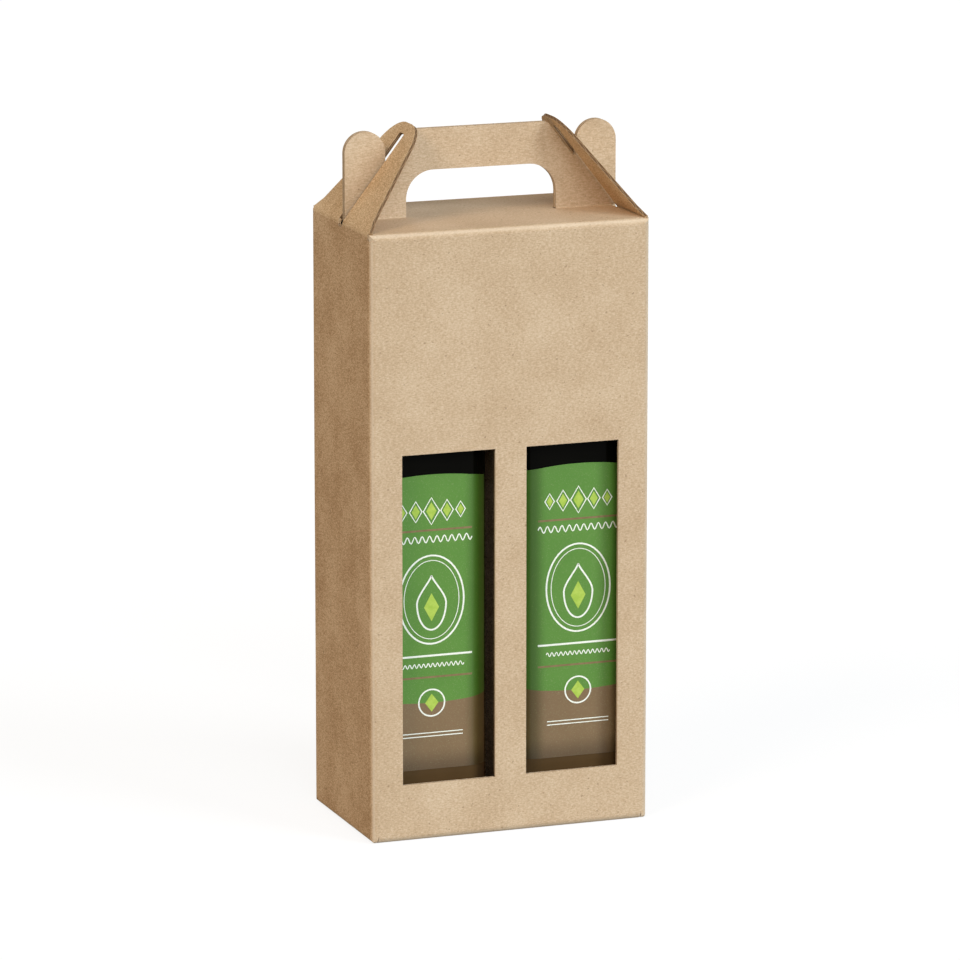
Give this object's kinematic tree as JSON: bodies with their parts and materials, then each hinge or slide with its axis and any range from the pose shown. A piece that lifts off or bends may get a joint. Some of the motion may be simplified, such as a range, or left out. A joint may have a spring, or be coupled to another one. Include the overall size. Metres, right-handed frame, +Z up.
{
  "type": "gable top bottle box",
  "caption": "Brown fluted board carrier with a gable top handle, a divider and two tall windows, holding two square oil bottles side by side.",
  "frame": {"origin": "middle of the foot of the box, on the surface that it stands on", "axes": "+Z up through the handle, -Y out of the front with the windows, +X to the right as seen from the front"},
  "size_m": [0.134, 0.081, 0.3227],
  "materials": {
    "kraft_board": "uncoated brown kraft liner, matt",
    "dark_glass": "very dark glass, smooth and glossy",
    "oil": "clear liquid, stood in for by a solid",
    "label_paper": "printed label, satin",
    "pourer_plastic": "natural moulded plastic",
    "cap_metal": "black lacquered, satin"
  },
  "bodies": {
    "carton": {"front_panel": "kraft_board", "back_panel": "kraft_board", "left_panel": "kraft_board", "right_panel": "kraft_board", "glue_flap": "kraft_board", "base_front_flap": "kraft_board", "base_left_flap": "kraft_board", "base_right_flap": "kraft_board", "base_back_flap": "kraft_board", "divider_web": "kraft_board", "divider_flange": "kraft_board", "left_bottle_glass": "dark_glass", "left_bottle_oil": "oil", "left_bottle_label": "label_paper", "left_bottle_pourer": "pourer_plastic", "left_bottle_cap": "cap_metal", "right_bottle_glass": "dark_glass", "right_bottle_oil": "oil", "right_bottle_label": "label_paper", "right_bottle_pourer": "pourer_plastic", "right_bottle_cap": "cap_metal"},
    "front_roof": {"front_roof_panel": "kraft_board"},
    "back_roof": {"back_roof_panel": "kraft_board"},
    "front_handle": {"front_handle_panel": "kraft_board"},
    "back_handle": {"back_handle_panel": "kraft_board"},
    "left_gable": {"left_gable_flap": "kraft_board"},
    "right_gable": {"right_gable_flap": "kraft_board"}
  },
  "joints": [
    {"name": "front_roof_crease", "type": "hinge", "parent": "carton", "child": "front_roof", "pos_m": [0, -0.03962, 0.27912], "axis": [1, 0, 0], "range_deg": [0, 72]},
    {"name": "back_roof_crease", "type": "hinge", "parent": "carton", "child": "back_roof", "pos_m": [0, 0.03962, 0.27912], "axis": [-1, 0, 0], "range_deg": [0, 72]},
    {"name": "front_handle_crease", "type": "hinge", "parent": "front_roof", "child": "front_handle", "pos_m": [0, -0.0016, 0.28], "axis": [-1, 0, 0], "range_deg": [0, 72]},
    {"name": "back_handle_crease", "type": "hinge", "parent": "back_roof", "child": "back_handle", "pos_m": [0, 0.0016, 0.28], "axis": [1, 0, 0], "range_deg": [0, 72]},
    {"name": "left_gable_crease", "type": "hinge", "parent": "carton", "child": "left_gable", "pos_m": [-0.067, 0, 0.28], "axis": [0, -1, 0], "range_deg": [0, 216]},
    {"name": "right_gable_crease", "type": "hinge", "parent": "carton", "child": "right_gable", "pos_m": [0.067, 0, 0.28], "axis": [0, 1, 0], "range_deg": [0, 216]}
  ],
  "couplings": [
    {"joint": "back_roof_crease", "follows": "front_roof_crease", "ratio": 1},
    {"joint": "front_handle_crease", "follows": "front_roof_crease", "ratio": 1},
    {"joint": "back_handle_crease", "follows": "front_roof_crease", "ratio": 1},
    {"joint": "left_gable_crease", "follows": "front_roof_crease", "ratio": 3},
    {"joint": "right_gable_crease", "follows": "front_roof_crease", "ratio": 3}
  ]
}
